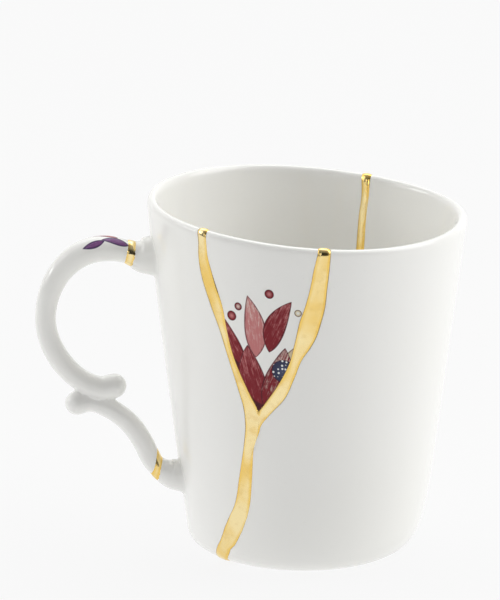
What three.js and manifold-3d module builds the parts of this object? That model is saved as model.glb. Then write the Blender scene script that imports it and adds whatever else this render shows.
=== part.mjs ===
// A porcelain mug that broke and was joined again with gold. Millimetres, +Z up.
// The origin is on the cup's axis, level with its foot. The handle points to -X and the
// printed shard faces -Y. Angles go round from +X towards +Y, in degrees.
import * as THREE from 'three';
import { mergeVertices } from 'three/addons/utils/BufferGeometryUtils.js';
import Module from 'manifold-3d';

const wasm = await Module();
wasm.setup();
const { clamp, degToRad, lerp } = THREE.MathUtils;

// Cup
const HEIGHT = 104;              // foot to the rim, in front
const RIM_RADIUS = 47.5;         // outside
const WALL_LEAN = 6.8;           // degrees that the wall leans out
const WALL = 3.2;
const FLOOR = 4.5;
const FOOT_RECESS = 0.6;         // hollow of the underside inside the foot ring
const FOOT_RING = 3;             // width of the ring that stands on the table
const FOOT_STEP = 1;             // how far the ring stands below the corner outside it
const INSIDE_FILLET = 9;         // between the inside wall and the floor
const CORNER_RISE = 19;          // height at which the wall starts to turn in to the foot
const CORNER_INSET = 8.2;        // how far it has turned in at the foot
const CORNER_POWER = 3;          // 2 is an ellipse, more is squarer

// What the kiln did to it: it is taller, tighter at the foot and drawn in at the handle
const TALL_SIDE = 170;           // degrees, the side where the rim is highest
const RIM_TILT = 3.2;            // rise of the rim there, and its fall on the far side
const RIM_SADDLE = 0.5;          // rise of the rim on both of these sides
const RIM_RIPPLE = 0.25;
const CORNER_SWING = 13;         // change of CORNER_RISE from side to side
const INSET_SWING = 0.9;
const DRAWN_IN = 1;              // rim radius lost on the tall side

// Handle
const HANDLE_FOOT = 21.9;        // height of the lower root
const HANDLE_HEIGHT = 69.1;      // lower root to upper root
const TUBE = 3.2;                // radius of the handle's round bar
const ROOT_DEPTH = 0.5;          // how deep a root sinks into the wall, as a share of it

// Gold
const GOLD_PROUD = 0.4;          // how far the gold stands above the glaze
const JOINT_GAP = 0.3;           // between the gold and the porcelain beside it
// Where a ring crosses its scroll, how far it leans from upright in degrees, and its width
const UPPER_RING = { out: 0.098, up: 1.018, lean: 12, width: 2.6 };
const LOWER_RING = { out: 0.102, up: 0.055, lean: 15, width: 2.5 };

// The crack's edges, as [share of HEIGHT, angle of one edge, angle of the other edge]
const STEM_AND_LEFT_ARM = [
  [-0.04, 204.5, 213.5], [0.03, 209.9, 218.4], [0.052, 211.9, 221], [0.068, 213.6, 222.4],
  [0.088, 215.9, 225.7], [0.11, 217.8, 227.8], [0.155, 221.2, 231.6], [0.205, 225.9, 234.3],
  [0.3, 230, 236.7], [0.35, 231.7, 237.5], [0.4, 233.3, 238.4], [0.47, 234.7, 241.8],
  [0.515, 234.4, 241.2], [0.57, 232.5, 237.5], [0.67, 228.5, 231.7], [0.74, 225.7, 229.7],
  [0.8, 222.6, 228.6], [0.89, 218.9, 224.9], [0.94, 218.5, 223.2], [0.97, 218.9, 223.1],
  [1, 218.3, 222.8], [1.08, 217.5, 222],
];
const RIGHT_ARM = [
  [0.46, 235.1, 240.8], [0.49, 238, 244], [0.515, 241, 247], [0.55, 244.6, 251.4],
  [0.62, 250.8, 256], [0.68, 254.4, 259.2], [0.71, 255.3, 261.9], [0.735, 256.1, 263.7],
  [0.79, 257.7, 266], [0.83, 259.5, 267.2], [0.88, 261.2, 267.8], [0.94, 262.6, 268.5],
  [1, 264.2, 269], [1.08, 265, 269.5],
];
const FAR_SEAM = [
  [-0.04, 53.5, 58.5], [0.2, 55, 60], [0.4, 57.6, 61.4], [0.6, 55.6, 59.2], [0.78, 54.2, 58.2],
  [0.88, 54, 57.7], [0.94, 53.4, 57], [1, 53.4, 57.6], [1.08, 53.8, 58],
];

// The crack across the floor, as [share of the way over, step aside in mm, half its width]
const FLOOR_SEAM = [
  [0, 0, 1.9], [0.25, 1.1, 2], [0.5, 0.8, 1.5], [0.75, -0.9, 1.7], [1, 0, 1.3],
];
const FLOOR_SEAM_FROM = 211;     // degrees, where the stem reaches the foot
const FLOOR_SEAM_TO = 56.2;      // degrees, where the far seam does

// The two scrolls of the handle, as [out from the wall, up from the lower root, radius]:
// the first two are shares of HANDLE_HEIGHT, the last one of TUBE
const UPPER_SCROLL = [
  [0, 1, 1.78], [0.025, 1, 1.75], [0.055, 1.004, 1.55], [0.078, 1.012, 1.2], [0.11, 1.024, 1.06],
  [0.19, 1.041, 1.17], [0.257, 1.036, 1.19], [0.325, 1.009, 1.17], [0.395, 0.952, 1.09],
  [0.448, 0.876, 1.02], [0.482, 0.785, 0.96], [0.491, 0.695, 0.96], [0.472, 0.605, 1],
  [0.428, 0.521, 1.02], [0.368, 0.459, 1.01], [0.296, 0.426, 1.05], [0.237, 0.43, 1.1],
];
const UPPER_KNOB = 1.14;         // share of TUBE
const LOWER_SCROLL = [
  [0, 0.006, 1.52], [0.028, 0.011, 1.53], [0.045, 0.017, 1.45], [0.058, 0.025, 1.29],
  [0.072, 0.034, 1.13], [0.089, 0.048, 0.97], [0.11, 0.072, 0.91], [0.124, 0.102, 0.93],
  [0.141, 0.157, 0.96], [0.173, 0.228, 0.96], [0.212, 0.281, 0.95], [0.275, 0.333, 0.93],
  [0.345, 0.362, 0.89], [0.405, 0.362, 1],
];
const LOWER_KNOB = 1.11;         // share of TUBE

// Worked out from the sizes above
const FLOOR_TOP = FOOT_RECESS + FLOOR;
const MARGIN = 3 * GOLD_PROUD;   // how far a cutter reaches past the surface
const STEP_REACH = 5 * FOOT_STEP; // the step at the foot has died out this high up

// Fineness of the facets
const AROUND = 60;               // facets round the cup
const WALL_STEPS = 4;
const TURN_STEPS = 6;            // facets of a corner, the lip and the fillet
const STEPS_PER_STATION = 2;     // of a crack or a scroll
const BAR_SIDES = 12;

// Radius of the wall without its corner, outside
function straightWall(height) {
  return RIM_RADIUS - Math.tan(degToRad(WALL_LEAN)) * (HEIGHT - height);
}

function cornerInset(height, rise, inset) {
  const turned = clamp((rise - height) / rise, 0, 1);
  return inset * (1 - (1 - turned ** CORNER_POWER) ** (1 / CORNER_POWER));
}

function meanRadius(height) {
  return straightWall(height) - cornerInset(height, CORNER_RISE, CORNER_INSET);
}

// 1 on the tall side, -1 on the side away from it
function tallness(angle) {
  return Math.cos(angle - degToRad(TALL_SIDE));
}

function trueRadius(height, angle) {
  const tall = tallness(angle);
  const rise = CORNER_RISE - CORNER_SWING * tall;
  const inset = CORNER_INSET + INSET_SWING * tall;
  const drawn = DRAWN_IN * (height / HEIGHT) ** 6 * (1 + tall) / 2;
  return straightWall(height) - cornerInset(height, rise, inset) - drawn;
}

function rimRise(angle) {
  const turn = angle - degToRad(TALL_SIDE);
  return RIM_TILT * Math.cos(turn) + RIM_SADDLE * Math.cos(turn) ** 2 - RIM_RIPPLE * Math.cos(3 * turn);
}

// The one mapping that every part of the cup goes through: from a true round cup to this one
function place(angle, radius, height) {
  const share = Math.max(0, (height - FLOOR_TOP) / (HEIGHT - FLOOR_TOP));
  const reach = radius * trueRadius(height, angle) / meanRadius(height);
  const beyondRing = clamp((radius - meanRadius(0)) / FOOT_RING * 2, 0, 1);
  const step = FOOT_STEP * beyondRing * clamp(1 - height / STEP_REACH, 0, 1) ** 2;
  const level = height + rimRise(angle) * share ** 3 + step;
  return new THREE.Vector3(reach * Math.cos(angle), reach * Math.sin(angle), level);
}

// Moves each corner of a geometry to where the given function puts it
function reshape(geometry, move) {
  const corners = geometry.attributes.position;
  const point = new THREE.Vector3();
  for (let i = 0; i < corners.count; i += 1) {
    point.fromBufferAttribute(corners, i);
    const moved = move(point);
    corners.setXYZ(i, moved.x, moved.y, moved.z);
  }
  return geometry;
}

// A closed geometry as a solid that can be joined and cut
function solid(geometry) {
  const bare = new THREE.BufferGeometry();
  bare.setAttribute('position', geometry.attributes.position);
  if (geometry.index) bare.setIndex(geometry.index);
  const merged = mergeVertices(bare, 1e-4);
  const corners = merged.index.array;
  const kept = [];
  for (let i = 0; i < corners.length; i += 3) {
    const [a, b, c] = corners.slice(i, i + 3);
    if (a !== b && b !== c && c !== a) kept.push(a, b, c);
  }
  const mesh = new wasm.Mesh({
    numProp: 3,
    vertProperties: new Float32Array(merged.attributes.position.array),
    triVerts: new Uint32Array(kept),
  });
  return new wasm.Manifold(mesh);
}

// The cup as it was before it broke, its surfaces moved out by grow except under the foot
function cup(grow) {
  const profile = [];
  const add = (radius, height) => profile.push(new THREE.Vector2(radius, height));
  const foot = meanRadius(0) + grow;
  const lipHeight = HEIGHT - WALL / 2;
  const lipMiddle = straightWall(lipHeight) - WALL / 2;
  const filletHeight = FLOOR_TOP + INSIDE_FILLET;
  const filletMiddle = straightWall(filletHeight) - WALL - INSIDE_FILLET;

  add(0, FOOT_RECESS);
  add(foot - FOOT_RING - FOOT_RECESS, FOOT_RECESS);
  add(foot - FOOT_RING, 0);
  for (let i = 0; i < TURN_STEPS; i += 1) {
    const turn = (1 - i / TURN_STEPS) * Math.PI / 2;
    const height = CORNER_RISE * (1 - Math.sin(turn) ** (2 / CORNER_POWER));
    add(meanRadius(height) + grow, height);
  }
  for (let i = 0; i < WALL_STEPS; i += 1) {
    const height = lerp(CORNER_RISE, lipHeight, i / WALL_STEPS);
    add(straightWall(height) + grow, height);
  }
  for (let i = 0; i <= TURN_STEPS; i += 1) {
    const turn = i / TURN_STEPS * Math.PI;
    const lip = WALL / 2 + grow;
    add(lipMiddle + lip * Math.cos(turn), lipHeight + lip * Math.sin(turn));
  }
  for (let i = 1; i < WALL_STEPS; i += 1) {
    const height = lerp(lipHeight, filletHeight, i / WALL_STEPS);
    add(straightWall(height) - WALL - grow, height);
  }
  for (let i = 0; i <= TURN_STEPS; i += 1) {
    const turn = i / TURN_STEPS * Math.PI / 2;
    const fillet = INSIDE_FILLET - grow;
    add(filletMiddle + fillet * Math.cos(turn), filletHeight - fillet * Math.sin(turn));
  }
  add(0, FLOOR_TOP + grow);

  const round = new THREE.LatheGeometry(profile, AROUND).rotateX(Math.PI / 2);
  return solid(reshape(round, (p) => place(Math.atan2(p.y, p.x), Math.hypot(p.x, p.y), p.z)));
}

// A cutter through the wall between the two edges of a crack, wider by slack on each side
function wallCutter(stations, slack) {
  const edges = new THREE.CatmullRomCurve3(stations.map(([share, one, other]) => (
    new THREE.Vector3(share * HEIGHT, degToRad(one), degToRad(other))
  )));
  const steps = (stations.length - 1) * STEPS_PER_STATION;
  const strip = new THREE.BoxGeometry(1, 1, 1, 1, steps, 1);
  return solid(reshape(strip, (p) => {
    const edge = edges.getPoint(p.y + 0.5);
    const height = edge.x;
    const wall = straightWall(height);
    const inFillet = height < FLOOR_TOP + INSIDE_FILLET;
    const depth = WALL + MARGIN + (inFillet ? INSIDE_FILLET : 0);
    const widen = slack / wall;
    const angle = p.x < 0 ? edge.y - widen : edge.z + widen;
    return place(angle, p.z < 0 ? wall - depth : wall + MARGIN, height);
  }));
}

// A cutter through the floor, from the stem's foot to the far seam's
function floorCutter(slack) {
  const end = (angle) => new THREE.Vector2(1, 0)
    .rotateAround(new THREE.Vector2(), degToRad(angle))
    .multiplyScalar(straightWall(0) - WALL - INSIDE_FILLET + MARGIN);
  const from = end(FLOOR_SEAM_FROM);
  const to = end(FLOOR_SEAM_TO);
  const along = to.clone().sub(from);
  const across = new THREE.Vector2(along.y, -along.x).normalize();
  const middle = new THREE.CatmullRomCurve3(FLOOR_SEAM.map(([share, aside, half]) => {
    const spot = from.clone().addScaledVector(along, share).addScaledVector(across, aside);
    return new THREE.Vector3(spot.x, spot.y, half);
  }));
  const steps = (FLOOR_SEAM.length - 1) * STEPS_PER_STATION;
  const strip = new THREE.BoxGeometry(1, 1, 1, 1, steps, 1);
  return solid(reshape(strip, (p) => {
    const spot = middle.getPoint(p.y + 0.5);
    const aside = 2 * p.x * (spot.z + slack);
    const height = p.z < 0 ? -MARGIN : FLOOR_TOP + MARGIN;
    return new THREE.Vector3(spot.x + across.x * aside, spot.y + across.y * aside, height);
  }));
}

function crackCutter(slack) {
  return [STEM_AND_LEFT_ARM, RIGHT_ARM, FAR_SEAM]
    .map((stations) => wallCutter(stations, slack))
    .reduce((all, cutter) => all.add(cutter), floorCutter(slack));
}

// A solid as a geometry
function toGeometry(body) {
  const { vertProperties, triVerts } = body.getMesh();
  const geometry = new THREE.BufferGeometry();
  geometry.setAttribute('position', new THREE.BufferAttribute(new Float32Array(vertProperties), 3));
  geometry.setIndex(new THREE.BufferAttribute(new Uint32Array(triVerts), 1));
  return geometry;
}

// The separate pieces of a solid that was cut through, each as { body, middle, size }
function separate(body) {
  const geometry = toGeometry(body);
  const corners = geometry.index.array;
  const group = Array.from({ length: geometry.attributes.position.count }, (_, i) => i);
  const find = (i) => {
    let root = i;
    while (group[root] !== root) root = group[root];
    group[i] = root;
    return root;
  };
  for (let i = 0; i < corners.length; i += 3) {
    group[find(corners[i])] = find(corners[i + 1]);
    group[find(corners[i + 1])] = find(corners[i + 2]);
  }
  const byRoot = new Map();
  for (let i = 0; i < corners.length; i += 3) {
    const root = find(corners[i]);
    if (!byRoot.has(root)) byRoot.set(root, []);
    byRoot.get(root).push(corners[i], corners[i + 1], corners[i + 2]);
  }
  return [...byRoot.values()].map((faces) => {
    const part = new THREE.BufferGeometry();
    part.setAttribute('position', geometry.attributes.position);
    part.setIndex(faces);
    const box = new THREE.Box3();
    const point = new THREE.Vector3();
    faces.forEach((i) => box.expandByPoint(point.fromBufferAttribute(part.attributes.position, i)));
    return {
      body: solid(part.toNonIndexed()),
      middle: box.getCenter(new THREE.Vector3()),
      size: box.getSize(new THREE.Vector3()),
    };
  });
}

// The height on a true round cup that ends up at the given level on the handle's side
function heightAt(level) {
  let height = level;
  for (let i = 0; i < 5; i += 1) height += level - place(Math.PI, 1, height).z;
  return height;
}

// Radius of the wall at the handle's lower root and at its upper one
const ROOT_RADII = [0, 1].map((up) => (
  trueRadius(heightAt(HANDLE_FOOT + up * HANDLE_HEIGHT), Math.PI)
));

// A point of the handle, in the plane y = 0, from its distance out of the wall and its height
function handleSpot(out, up) {
  const wall = lerp(...ROOT_RADII, up);
  return new THREE.Vector3(-wall - out * HANDLE_HEIGHT, 0, HANDLE_FOOT + up * HANDLE_HEIGHT);
}

// A scroll's middle line, with its radius kept as y
function scrollLine(stations) {
  const points = stations.map(([out, up, radius]) => handleSpot(out, up).setY(radius * TUBE));
  points[0].x += ROOT_DEPTH * WALL;
  return new THREE.CatmullRomCurve3(points);
}

// A round bar along a scroll's line, thicker by grow
function bar(line, grow) {
  const steps = (line.points.length - 1) * STEPS_PER_STATION;
  const rod = new THREE.CylinderGeometry(1, 1, 1, BAR_SIDES, steps);
  return solid(reshape(rod, (p) => {
    const share = p.y + 0.5;
    const spot = line.getPoint(share);
    const ahead = line.getTangent(share);
    const forward = new THREE.Vector3(ahead.x, 0, ahead.z).normalize();
    const side = new THREE.Vector3(0, 1, 0);
    const upward = new THREE.Vector3().crossVectors(forward, side);
    const radius = spot.y + grow;
    return new THREE.Vector3(spot.x, 0, spot.z)
      .addScaledVector(side, p.z * radius)
      .addScaledVector(upward, p.x * radius);
  }));
}

function knob(line, share) {
  const end = line.points[line.points.length - 1];
  const ball = new THREE.SphereGeometry(share * TUBE, BAR_SIDES, BAR_SIDES / 2);
  return solid(ball.rotateX(Math.PI / 2).translate(end.x, 0, end.z));
}

// A block across the handle at a ring, between two distances from it towards the cup
function block(ring, from, to) {
  const breadth = HANDLE_HEIGHT / 4;
  const spot = handleSpot(ring.out, ring.up);
  return solid(new THREE.BoxGeometry(to - from, breadth, breadth)
    .translate((from + to) / 2, 0, 0)
    .rotateY(degToRad(ring.lean))
    .translate(spot.x, 0, spot.z));
}

// One scroll cut at its ring: the root that stays on the cup, the gold ring and the scroll
function cutScroll(stations, share, ring) {
  const line = scrollLine(stations);
  const half = ring.width / 2;
  const open = half + JOINT_GAP;
  const long = HANDLE_HEIGHT / 4;
  const whole = bar(line, 0);
  return {
    root: whole.intersect(block(ring, open, long)),
    gold: bar(line, GOLD_PROUD).intersect(block(ring, -half, half)),
    scroll: whole.subtract(block(ring, -open, long)).add(knob(line, share)),
  };
}

// Porcelain, cut by the crack with room for the gold
const shards = separate(cup(0).subtract(crackCutter(JOINT_GAP)));
shards.sort((a, b) => a.size.z - b.size.z);
const [printed, ...sides] = shards;
sides.sort((a, b) => a.middle.x - b.middle.x);
const [handleSide, farSide] = sides;
const upper = cutScroll(UPPER_SCROLL, UPPER_KNOB, UPPER_RING);
const lower = cutScroll(LOWER_SCROLL, LOWER_KNOB, LOWER_RING);

const porcelain = { color: '#ecece8', roughness: 0.12, metalness: 0 };
const gold = { color: '#e6c46a', roughness: 0.2, metalness: 1 };

const mug = new THREE.Group();
function addPiece(name, body, finish) {
  const mesh = new THREE.Mesh(toGeometry(body), new THREE.MeshStandardMaterial(finish));
  mesh.name = name;
  mug.add(mesh);
}
addPiece('shard_handle_side', handleSide.body.add(upper.root).add(lower.root), porcelain);
addPiece('shard_far_side', farSide.body, porcelain);
addPiece('shard_printed', printed.body, porcelain);
addPiece('handle_scroll', upper.scroll.add(lower.scroll), porcelain);
addPiece('gold_seam', cup(GOLD_PROUD).intersect(crackCutter(0)), gold);
addPiece('gold_ring_upper', upper.gold, gold);
addPiece('gold_ring_lower', lower.gold, gold);

export default mug;
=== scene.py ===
# The looks of a porcelain mug that broke and was joined again with gold. Metres, +Z up,
# the handle towards -X and the printed shard towards -Y. Angles go from +X towards +Y.
from math import cos, pi, radians, sin, tan

import bmesh
import bpy
import numpy as np
from mathutils import Matrix, Vector


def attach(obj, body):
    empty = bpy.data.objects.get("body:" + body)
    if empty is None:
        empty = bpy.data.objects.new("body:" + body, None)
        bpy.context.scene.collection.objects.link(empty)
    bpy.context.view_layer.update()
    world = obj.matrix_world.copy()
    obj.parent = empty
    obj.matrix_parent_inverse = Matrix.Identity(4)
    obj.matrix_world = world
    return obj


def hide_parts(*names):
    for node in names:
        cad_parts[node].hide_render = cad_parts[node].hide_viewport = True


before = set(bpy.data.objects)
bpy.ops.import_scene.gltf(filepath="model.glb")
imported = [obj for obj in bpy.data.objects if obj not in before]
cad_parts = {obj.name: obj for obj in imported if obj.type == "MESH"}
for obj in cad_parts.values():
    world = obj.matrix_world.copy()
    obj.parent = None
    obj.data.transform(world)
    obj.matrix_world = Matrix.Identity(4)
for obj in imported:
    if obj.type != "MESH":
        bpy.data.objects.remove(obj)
MM = 0.001

# Cup, as the solids have it
HEIGHT = 104 * MM
RIM_RADIUS = 47.5 * MM
WALL_LEAN = radians(6.8)
WALL = 3.2 * MM
FLOOR = 4.5 * MM
FOOT_RECESS = 0.6 * MM
FOOT_RING = 3 * MM
FOOT_STEP = 1 * MM               # the ring stands this far below the corner outside it
STEP_REACH = 5 * FOOT_STEP
INSIDE_FILLET = 9 * MM
CORNER_RISE = 19 * MM            # height at which the wall starts to turn in to the foot
CORNER_INSET = 8.2 * MM          # how far it has turned in at the foot
CORNER_POWER = 3                 # 2 is an ellipse, more is squarer
FLOOR_TOP = FOOT_RECESS + FLOOR

# Its lip, finer than in the solids
LIP_RISE = 2.6 * MM              # height of the rounding at the rim
LIP_CREST = 1.3 * MM             # the rim's highest line lies this far in
LIP_THINNING = 0.3 * MM          # the wall thins by this much towards the rim
LIP_REACH = 9 * MM               # and starts to do so this far below it

# What the kiln did to it
TALL_SIDE = radians(170)         # the side where the rim is highest
RIM_TILT = 3.2 * MM
RIM_SADDLE = 0.5 * MM
RIM_RIPPLE = 0.25 * MM
CORNER_SWING = 13 * MM           # change of CORNER_RISE from side to side
INSET_SWING = 0.9 * MM
DRAWN_IN = 1 * MM                # rim radius lost on the tall side

# Handle
HANDLE_FOOT = 21.9 * MM          # height of the lower root
HANDLE_HEIGHT = 69.1 * MM        # lower root to upper root
TUBE = 3.2 * MM                  # radius of the round bar
ROOT_FILLET = 2 * MM             # where a root meets the wall
ROOT_TUCK = 0.04 * MM            # the fillet's edge lies this far below the glaze
ROOT_SUNK = 1.5 * MM             # and the root reaches this far into the wall
CREASE_SOFTNESS = 1.7 * MM       # reach of the glaze in the crease between the scrolls

# Gold
GOLD_PROUD = 0.34 * MM           # its flat top stands this far above the glaze
GOLD_SUNK = 0.12 * MM            # its edge lies this far below the glaze
GOLD_SHOULDER = 1.2 * MM         # from its edge to its flat top
GOLD_ROUNDING = 1.7              # power of the shoulder's curve
FAR_SHOULDER = 1.8 * MM          # the far seam is narrower and rounder
GOLD_THICKNESS = 1.2 * MM
RING_PROUD = 0.45                # the rings stand up by this share of the crack's gold
FORK_BLEND = 22 * MM             # below the fork, the two halves of the stem part over this
FORK_CREASE = 1.5 * MM           # length of the crease in the gold below the printed shard
CREASE_EDGE = 0.12 * MM          # the gold is as thin in it as this far from its edge
CREASE_SPREAD = 1.5              # how fast it swells to both sides of the crease
TUCK = 0.15 * MM                 # how far the porcelain reaches under the gold
FOOT_CLEARANCE = 0.05 * MM       # the gold never touches the table

# The crack's edges, as [share of HEIGHT, angle of one edge, angle of the other edge]
STEM_AND_LEFT_ARM = [
    [-0.04, 204.5, 213.5], [0.03, 209.9, 218.4], [0.052, 211.9, 221], [0.068, 213.6, 222.4],
    [0.088, 215.9, 225.7], [0.11, 217.8, 227.8], [0.155, 221.2, 231.6], [0.205, 225.9, 234.3],
    [0.3, 230, 236.7], [0.35, 231.7, 237.5], [0.4, 233.3, 238.4], [0.47, 234.7, 241.8],
    [0.515, 234.4, 241.2], [0.57, 232.5, 237.5], [0.67, 228.5, 231.7], [0.74, 225.7, 229.7],
    [0.8, 222.6, 228.6], [0.89, 218.9, 224.9], [0.94, 218.5, 223.2], [0.97, 218.9, 223.1],
    [1, 218.3, 222.8], [1.08, 217.5, 222],
]
RIGHT_ARM = [
    [0.46, 235.1, 240.8], [0.49, 238, 244], [0.515, 241, 247], [0.55, 244.6, 251.4],
    [0.62, 250.8, 256], [0.68, 254.4, 259.2], [0.71, 255.3, 261.9], [0.735, 256.1, 263.7],
    [0.79, 257.7, 266], [0.83, 259.5, 267.2], [0.88, 261.2, 267.8], [0.94, 262.6, 268.5],
    [1, 264.2, 269], [1.08, 265, 269.5],
]
FAR_SEAM = [
    [-0.04, 53.5, 58.5], [0.2, 55, 60], [0.4, 57.6, 61.4], [0.6, 55.6, 59.2],
    [0.78, 54.2, 58.2], [0.88, 54, 57.7], [0.94, 53.4, 57], [1, 53.4, 57.6], [1.08, 53.8, 58],
]
# The crack across the floor, as [share of the way over, step aside in mm, half its width]
FLOOR_SEAM = [[0, 0, 1.9], [0.25, 1.1, 2], [0.5, 0.8, 1.5], [0.75, -0.9, 1.7], [1, 0, 1.3]]
FLOOR_SEAM_FROM = radians(211)
FLOOR_SEAM_TO = radians(56.2)
FLOOR_SEAM_REACH = 24.1 * MM
FLOOR_SEAM_BEND = 0.3            # over this share of the way its ends bend to the wall's crack

PRINT_MIDDLE = radians(243)      # the print is laid out to both sides of this line

# The scrolls, as [out from the wall, up from the lower root, radius]: shares of
# HANDLE_HEIGHT, HANDLE_HEIGHT and TUBE
UPPER_SCROLL = [
    [0, 1, 1.78], [0.025, 1, 1.75], [0.055, 1.004, 1.55], [0.078, 1.012, 1.2],
    [0.11, 1.024, 1.06], [0.19, 1.041, 1.17], [0.257, 1.036, 1.19], [0.325, 1.009, 1.17],
    [0.395, 0.952, 1.09], [0.448, 0.876, 1.02], [0.482, 0.785, 0.96], [0.491, 0.695, 0.96],
    [0.472, 0.605, 1], [0.428, 0.521, 1.02], [0.368, 0.459, 1.01], [0.296, 0.426, 1.05],
    [0.237, 0.43, 1.14],
]
LOWER_SCROLL = [
    [0, 0.006, 1.52], [0.028, 0.011, 1.53], [0.045, 0.017, 1.45], [0.058, 0.025, 1.29],
    [0.072, 0.034, 1.13], [0.089, 0.048, 0.97], [0.11, 0.072, 0.91], [0.124, 0.102, 0.93],
    [0.141, 0.157, 0.96], [0.173, 0.228, 0.96], [0.212, 0.281, 0.95], [0.275, 0.333, 0.93],
    [0.345, 0.362, 0.89], [0.405, 0.362, 1.11],
]
# Where a ring crosses its scroll, how far it leans from upright, and its width
UPPER_RING = {"out": 0.098, "up": 1.018, "lean": radians(12), "width": 2.7 * MM}
LOWER_RING = {"out": 0.102, "up": 0.055, "lean": radians(15), "width": 2.6 * MM}

# Fineness
HANDLE_SIDE_COLUMNS = 120
FAR_SIDE_COLUMNS = 130
PRINTED_COLUMNS = 44
FLOOR_ROWS = 8
CORNER_ROWS = 12
FILLET_ROWS = 16
LOW_WALL_ROWS = 26
HIGH_WALL_ROWS = 38
LIP_ROWS = 10
GOLD_COLUMNS = 9                 # in each half of a band of gold
FLOOR_GOLD_ROWS = 20
UPPER_STEPS = 220                # along a scroll's middle line
LOWER_STEPS = 150
BAR_SIDES = 40
KNOB_ROWS = 8
ROOT_SIDES = 48
ROOT_ROWS = 26
RING_SIDES = 56
RING_ROWS = 12

TOUCHING = 0.002 * MM            # points closer than this are one
BROKEN_EDGE = radians(42)        # a sharper bend than this stays an edge


def smoothstep(low, high, value):
    share = np.clip((value - low) / (high - low), 0, 1)
    return share * share * (3 - 2 * share)


def through(knots, values, at):
    """A smooth curve through values at knots, read at the given places."""
    knots, values = np.asarray(knots, float), np.asarray(values, float)
    slopes = np.gradient(values, knots, axis=0)
    i = np.clip(np.searchsorted(knots, at) - 1, 0, len(knots) - 2)
    span = knots[i + 1] - knots[i]
    t = (at - knots[i]) / span
    if values.ndim > 1:
        t, span = t[:, None], span[:, None]
    return (
        (2 * t**3 - 3 * t**2 + 1) * values[i] + (t**3 - 2 * t**2 + t) * span * slopes[i]
        + (3 * t**2 - 2 * t**3) * values[i + 1] + (t**3 - t**2) * span * slopes[i + 1]
    )


# The cup's form

def straight_wall(height):
    return RIM_RADIUS - tan(WALL_LEAN) * (HEIGHT - height)


def corner_inset(height, rise, inset):
    turned = np.clip((rise - height) / rise, 0, 1)
    return inset * (1 - (1 - turned**CORNER_POWER) ** (1 / CORNER_POWER))


def mean_radius(height):
    return straight_wall(height) - corner_inset(height, CORNER_RISE, CORNER_INSET)


def true_radius(height, angle):
    tall = np.cos(angle - TALL_SIDE)
    rise = CORNER_RISE - CORNER_SWING * tall
    inset = CORNER_INSET + INSET_SWING * tall
    drawn = DRAWN_IN * np.clip(height / HEIGHT, 0, 2) ** 6 * (1 + tall) / 2
    return straight_wall(height) - corner_inset(height, rise, inset) - drawn


def rim_rise(angle):
    turn = angle - TALL_SIDE
    return RIM_TILT * np.cos(turn) + RIM_SADDLE * np.cos(turn)**2 - RIM_RIPPLE * np.cos(3 * turn)


def place(angle, radius, height):
    """From a true round cup to this one: every point of the cup goes through it."""
    share = np.clip((height - FLOOR_TOP) / (HEIGHT - FLOOR_TOP), 0, None)
    # The recess goes with the foot ring round it
    like = np.where((radius < mean_radius(0)) & (height < 2 * FOOT_RECESS), 0, height)
    reach = radius * true_radius(like, angle) / mean_radius(like)
    beyond_ring = np.clip((radius - mean_radius(0)) / FOOT_RING * 2, 0, 1)
    step = FOOT_STEP * beyond_ring * np.clip(1 - height / STEP_REACH, 0, 1)**2
    level = height + rim_rise(angle) * share**3 + step
    return np.stack([reach * np.cos(angle), reach * np.sin(angle), level], axis=-1)


def edge(stations, which, height):
    """Angle of a crack's edge at a height: which is 1 or 2."""
    table = np.array(stations, float)
    share = np.clip(height / HEIGHT, table[0, 0], table[-1, 0])
    return np.radians(through(table[:, 0], table[:, which], share))


def left_one(height):
    return edge(STEM_AND_LEFT_ARM, 1, height)


def left_other(height):
    return edge(STEM_AND_LEFT_ARM, 2, height)


def right_one(height):
    return edge(RIGHT_ARM, 1, height)


def right_other(height):
    """The right edge of the stem, and of the right arm where that lies further right."""
    arm = edge(RIGHT_ARM, 2, height)
    stem = left_other(height)
    return np.where(height < RIGHT_ARM[0][0] * HEIGHT, stem, np.maximum(stem, arm))


def far_one(height):
    return edge(FAR_SEAM, 1, height)


def far_other(height):
    return edge(FAR_SEAM, 2, height)


def fork_height():
    """Height at which the right arm parts from the left one."""
    heights = np.linspace(0.48, 0.56, 400) * HEIGHT
    return float(heights[np.argmax(right_one(heights) > left_other(heights))])


FORK = fork_height()
FORK_ANGLE = float(left_other(np.array([FORK]))[0])
ABOVE_FORK = FORK + 0.01 * MM


def outer_foot():
    """Rows from the recess of the underside round the foot ring and up the corner."""
    foot = mean_radius(0)
    recess = foot - FOOT_RING - FOOT_RECESS
    # Both corners of the slope between recess and ring are eased
    rows = [(recess, FOOT_RECESS), (recess + 0.2 * MM, 0.5 * MM), (foot - FOOT_RING, 0.08 * MM),
            (foot - FOOT_RING + 0.3 * MM, 0), (foot, 0)]
    turns = np.linspace(pi / 2, 0, CORNER_ROWS + 1)[1:]
    heights = CORNER_RISE * (1 - np.sin(turns) ** (2 / CORNER_POWER))
    return rows + [(mean_radius(h), h) for h in heights]


def inner_wall(height):
    thinner = np.clip((height - HEIGHT + LIP_REACH) / LIP_REACH, 0, 1)
    return straight_wall(height) - WALL + LIP_THINNING * thinner**2


def lip_height():
    return HEIGHT - LIP_RISE


def outer_wall(start):
    """Heights of the rows up the wall, one of them exactly at the fork."""
    top = np.linspace(FORK, lip_height(), HIGH_WALL_ROWS + 1)[1:]
    low = np.linspace(start, FORK, LOW_WALL_ROWS + 1)[1:]
    return np.concatenate([low, top]) if start < FORK else top


def rounding(start, corner, end):
    """A smooth bend from start to end that leaves both towards the corner."""
    t = np.linspace(0, 1, LIP_ROWS + 1)[1:, None]
    bend = (1 - t)**2 * np.array(start) + 2 * t * (1 - t) * np.array(corner) + t**2 * np.array(end)
    return [tuple(spot) for spot in bend]


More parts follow.
